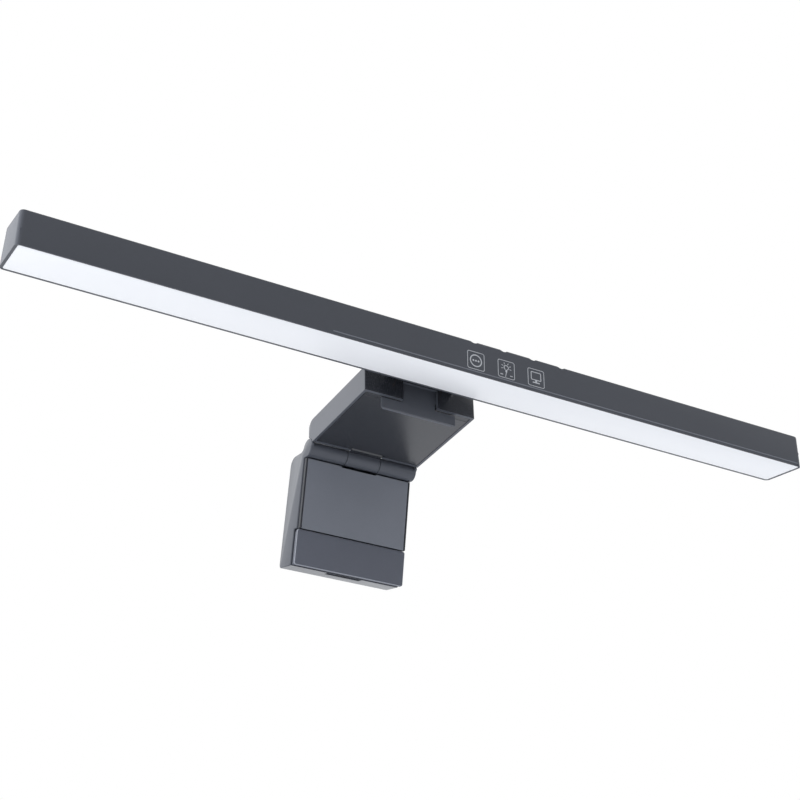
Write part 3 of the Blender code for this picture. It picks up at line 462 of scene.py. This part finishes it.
def add_ledges(housing, inner):
    """The two ledges that carry the heat spreader, along the front and the rear wall."""
    rear = BAR_FRONT_Y + BAR_DEPTH
    near, far = LEDGE_SPAN
    half = inner + LEDGE_INTO_WALL
    for y in ((BAR_FRONT_Y + near, BAR_FRONT_Y + far), (rear - far, rear - near)):
        carve(housing, cuboid((-half, half), y, (LEDGE_Z, LEDGE_Z + LEDGE_THICK)), 'UNION')


def build_bar_housing(tilt, mats):
    half = BAR_LENGTH / 2
    bm = prism(bar_outline(0.0), half)
    top = BAR_BOTTOM_Z + BAR_FRONT_HEIGHT - MM
    round_edges(bm, BAR_END_ROUND, 8,
                lambda edge: abs(edge.verts[0].co.z - edge.verts[1].co.z) > BAR_CORNER_TALL)
    round_edges(bm, BAR_TOP_ROUND, 5, lambda edge: min(vert.co.z for vert in edge.verts) > top)
    housing = new_piece("bar_housing_finished", bm, "bar", mats["bar"])
    inner = half - BAR_WALL
    carve(housing, prism(bar_outline(BAR_WALL, MM), inner))
    carve(housing, cuboid((-inner, inner),
                          (BAR_FRONT_Y + RIM_STEP + FRONT_RIM, BAR_FRONT_Y + SEAT_DEPTH),
                          (BAR_BOTTOM_Z - MM, BAR_BOTTOM_Z + DIFFUSER_THICK + DIFFUSER_GAP)))
    carve_rim(housing, mats)
    carve_dips(housing)
    carve_saddle_holes(housing)
    add_ledges(housing, inner)
    housing.data.transform(tilt)
    smooth(housing.data, SHARP_HOUSING)
    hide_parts("bar_housing")


def build_diffuser(tilt, mats):
    inset = BAR_WALL + DIFFUSER_GAP
    half = BAR_LENGTH / 2 - inset
    front = BAR_FRONT_Y + RIM_STEP + FRONT_RIM + DIFFUSER_GAP
    rear = BAR_FRONT_Y + BAR_DEPTH - inset
    bm = cuboid((-half, half), (front, rear), (BAR_BOTTOM_Z, BAR_BOTTOM_Z + DIFFUSER_THICK))
    round_edges(bm, DIFFUSER_CORNER, 5, lambda edge: abs(edge.verts[0].co.z - edge.verts[1].co.z) > MM)
    round_edges(bm, DIFFUSER_EDGE, 2,
                lambda edge: max(vert.co.z for vert in edge.verts) < BAR_BOTTOM_Z + SAME_PLACE)
    piece = new_piece("diffuser_finished", bm, "bar", mats["diffuser"], tilt)
    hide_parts("diffuser")


# ---------------------------------------------------------------- counterweight

def build_rubber_pad(hinge, mats):
    """A skin as wide as the housing, on a narrower body that leaves a dark line behind its edge."""
    width = (-PAD_HALF, PAD_HALF)
    skin = cuboid(width, (PAD_Y, PAD_Y + PAD_SKIN), (PAD_BOTTOM, PAD_TOP))
    round_edges(skin, PAD_CORNER, 6, lambda edge: abs(edge.verts[0].co.y - edge.verts[1].co.y) > MM)
    round_edges(skin, PAD_EDGE_ROUND, 4,
                lambda edge: max(vert.co.y for vert in edge.verts) < PAD_Y + SAME_PLACE)
    piece = new_piece("rubber_pad_finished", skin, "counterweight", mats["rubber"])
    # Painted highlight: the skin's rounded front edges get the pale coating, standing for the light they
    # catch.
    paint_faces(piece, mats["edge"], lambda face: face.center.y < PAD_Y + PAD_EDGE_ROUND
                and face.normal.y > PAD_FACING)
    carve(piece, cuboid((-PAD_HALF + PAD_INSET, PAD_HALF - PAD_INSET),
                        (PAD_Y + PAD_SKIN - PAD_SINK, PAD_Y + PAD_THICK),
                        (PAD_BOTTOM + PAD_INSET, PAD_TOP - PAD_INSET)), 'UNION')
    piece.data.transform(hinge)
    smooth(piece.data, SHARP_PAD)
    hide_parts("rubber_pad")


# ---------------------------------------------------------------- icons

def ribbon(bm, points, width, closed=False):
    """A printed line of one width along points on the face, with mitred corners."""
    count = len(points)
    rows = []
    for i, point in enumerate(points):
        here = Vector(point)
        before = Vector(points[i - 1]) if i or closed else None
        after = Vector(points[(i + 1) % count]) if i < count - 1 or closed else None
        sides = []
        if before is not None:
            sides.append((here - before).normalized())
        if after is not None:
            sides.append((after - here).normalized())
        normals = [Vector((-side.y, side.x)) for side in sides]
        across = sum(normals, Vector((0, 0))).normalized()
        across /= max(0.5, across.dot(normals[0]))
        rows.append([bm.verts.new((*(here + across * width / 2 * sign), 0.0)) for sign in (-1, 1)])
    for i in range(count if closed else count - 1):
        a, b = rows[i], rows[(i + 1) % count]
        bm.faces.new((a[0], b[0], b[1], a[1]))


def arc_points(centre, radius, start, end, steps):
    return [(centre[0] + radius * math.cos(math.radians(start + (end - start) * i / steps)),
             centre[1] + radius * math.sin(math.radians(start + (end - start) * i / steps)))
            for i in range(steps + 1)]


def disc(bm, centre, radius):
    rim = arc_points(centre, radius, 0, 360, 16)[:-1]
    bm.faces.new([bm.verts.new((x, y, 0.0)) for x, y in rim])


def rounded_box(half_w, half_h, radius):
    corners = ((half_w, half_h, 0), (-half_w, half_h, 90), (-half_w, -half_h, 180), (half_w, -half_h, 270))
    outline = []
    for x, y, start in corners:
        centre = (x - math.copysign(radius, x), y - math.copysign(radius, y))
        outline += arc_points(centre, radius, start, start + 90, 5)
    return outline


def draw_ring_icon(bm):
    ribbon(bm, arc_points((0, 0), 2.9 * MM, 0, 360, 40)[:-1], 0.55 * MM, closed=True)
    for x in (-1.35 * MM, 0, 1.35 * MM):
        disc(bm, (x, 0), 0.48 * MM)


def draw_bulb_icon(bm):
    ribbon(bm, arc_points(BULB_CENTRE, BULB_R, -60, 240, 20), 0.42 * MM)
    ribbon(bm, [(0, -0.2 * MM), (0, -1.5 * MM)], 0.95 * MM)
    ribbon(bm, [(0, -1.5 * MM), (-0.5 * MM, -3.9 * MM)], 0.35 * MM)
    for angle in BULB_RAYS:
        ribbon(bm, [arc_points(BULB_CENTRE, reach, angle, angle, 1)[0] for reach in RAY_SPAN], 0.34 * MM)
    ribbon(bm, [(-3.2 * MM, -2.9 * MM), (-1.8 * MM, -2.9 * MM)], 0.5 * MM)
    ribbon(bm, [(1.9 * MM, -2.9 * MM), (3.3 * MM, -2.9 * MM)], 0.4 * MM)


def draw_monitor_icon(bm):
    screen = [(x, y + 0.9 * MM) for x, y in rounded_box(2.6 * MM, 2.0 * MM, 0.4 * MM)]
    ribbon(bm, screen, 0.42 * MM, closed=True)
    ribbon(bm, [(0, -1.3 * MM), (0, -2.3 * MM)], 1.0 * MM)
    ribbon(bm, [(-1.9 * MM, -2.5 * MM), (1.9 * MM, -2.5 * MM)], 0.6 * MM)


def build_icons(tilt, mats):
    lean = math.atan2(BAR_FRONT_LEAN, BAR_FRONT_HEIGHT)
    # On the face: x along the bar, y up the face, z out of it.
    face = Matrix.Translation((0, BAR_FRONT_Y, BAR_BOTTOM_Z)) @ Matrix.Rotation(math.pi / 2 - lean, 4, 'X')
    for i, draw in enumerate((draw_ring_icon, draw_bulb_icon, draw_monitor_icon)):
        bm = bmesh.new()
        ribbon(bm, rounded_box(*ICON_HALF, ICON_CORNER), STROKE, closed=True)
        draw(bm)
        place = Matrix.Translation((ICON_X + i * ICON_PITCH, ICON_UP, PRINT_PROUD))
        raised = bmesh.ops.extrude_face_region(bm, geom=list(bm.faces))
        lifted = [item for item in raised["geom"] if isinstance(item, bmesh.types.BMVert)]
        bmesh.ops.translate(bm, verts=lifted, vec=(0, 0, PRINT_THICK))
        piece = new_piece(f"touch_icon_{i + 1}", bm, "bar", mats["print"], tilt @ face @ place)


# ---------------------------------------------------------------- stage

def build_world():
    """Plain white where the camera sees it; as light, strongest from behind and weakest in front."""
    world = bpy.data.worlds.new("studio")
    bpy.context.scene.world = world
    world.use_nodes = True
    nodes, links = world.node_tree.nodes, world.node_tree.links
    where = nodes.new("ShaderNodeTexCoord")
    axes = nodes.new("ShaderNodeSeparateXYZ")
    links.new(where.outputs["Generated"], axes.inputs["Vector"])

    def ramp(axis, start, end, amount):
        node = nodes.new("ShaderNodeMapRange")
        node.interpolation_type = 'SMOOTHSTEP'
        node.inputs["From Min"].default_value = start
        node.inputs["From Max"].default_value = end
        node.inputs["To Max"].default_value = amount
        links.new(axes.outputs[axis], node.inputs["Value"])
        return node.outputs["Result"]

    total = None
    for axis, start, end, amount in WORLD_RAMPS:
        part = ramp(axis, start, end, amount)
        if total is None:
            total = part
            continue
        add = nodes.new("ShaderNodeMath")
        add.operation = 'ADD'
        links.new(total, add.inputs[0])
        links.new(part, add.inputs[1])
        total = add.outputs["Value"]
    base = nodes.new("ShaderNodeMath")
    base.operation = 'ADD'
    base.inputs[1].default_value = WORLD_BASE
    links.new(total, base.inputs[0])
    light = nodes["Background"]
    light.inputs["Color"].default_value = LIGHT_COLOR
    links.new(base.outputs["Value"], light.inputs["Strength"])
    plain = nodes.new("ShaderNodeBackground")
    plain.inputs["Color"].default_value = (1.0, 1.0, 1.0, 1.0)
    path = nodes.new("ShaderNodeLightPath")
    mix = nodes.new("ShaderNodeMixShader")
    links.new(path.outputs["Is Camera Ray"], mix.inputs["Fac"])
    links.new(light.outputs["Background"], mix.inputs[1])
    links.new(plain.outputs["Background"], mix.inputs[2])
    links.new(mix.outputs["Shader"], nodes["World Output"].inputs["Surface"])


def build_stage():
    span = (-FLOOR_HALF, FLOOR_HALF)
    floor = cuboid(span, span, (FLOOR_Z, FLOOR_Z + FLOOR_THICK))
    mesh = bpy.data.meshes.new("floor")
    floor.to_mesh(mesh)
    floor.free()
    obj = bpy.data.objects.new("floor", mesh)
    mesh.materials.append(surface("pale_floor", (0.79, 0.80, 0.825), 0.8, grain_size=2 * MM, shade=0.01))
    bpy.context.scene.collection.objects.link(obj)


def build_end_light():
    """A small soft lamp close to the bar's left end, out of view."""
    data = bpy.data.lights.new("end_light", 'AREA')
    data.size = END_LIGHT_SIZE
    data.energy = END_LIGHT_WATTS
    data.color = END_LIGHT_COLOR
    lamp = bpy.data.objects.new("end_light", data)
    lamp.location = END_LIGHT_AT
    lamp.rotation_euler = (0.0, -math.pi / 2, 0.0)
    lamp.visible_camera = False
    lamp.visible_glossy = False
    bpy.context.scene.collection.objects.link(lamp)


def build_camera():
    data = bpy.data.cameras.new("camera")
    data.sensor_width = SENSOR
    data.lens = LENS
    data.clip_start = CLIP_START
    camera = bpy.data.objects.new("camera", data)
    camera.location = CAMERA_AT
    camera.rotation_euler = [math.radians(angle) for angle in CAMERA_TURN]
    bpy.context.scene.collection.objects.link(camera)
    bpy.context.scene.camera = camera


def main():
    mats = make_materials()
    dress_nodes(mats)
    tilt = joint_matrix("bar_tilt", BAR_PITCH)
    build_bar_housing(tilt, mats)
    build_diffuser(tilt, mats)
    build_icons(tilt, mats)
    finished = {node: polished(node, body, mats[key], width) for node, (body, key, width) in POLISHED.items()}
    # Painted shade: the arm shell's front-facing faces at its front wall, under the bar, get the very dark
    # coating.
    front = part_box("arm_shell")[0][1] + TILT_REACH
    paint_faces(finished["arm_shell"], mats["rest"],
                lambda face: face.normal.y < LUG_FACING and abs(face.center.y - front) < MM)
    # Painted shade: the hinge leaf's faces under the arm, in front of LEAF_BEND_Y, get the very dark coating.
    paint_faces(finished["hinge_leaf"], mats["rest"], lambda face: face.center.y < LEAF_BEND_Y)
    build_rubber_pad(joint_matrix("clamp_hinge", WEIGHT_LEAN), mats)
    build_world()
    build_end_light()
    build_stage()
    build_camera()
    bpy.context.scene.view_settings.view_transform = 'Standard'


main()
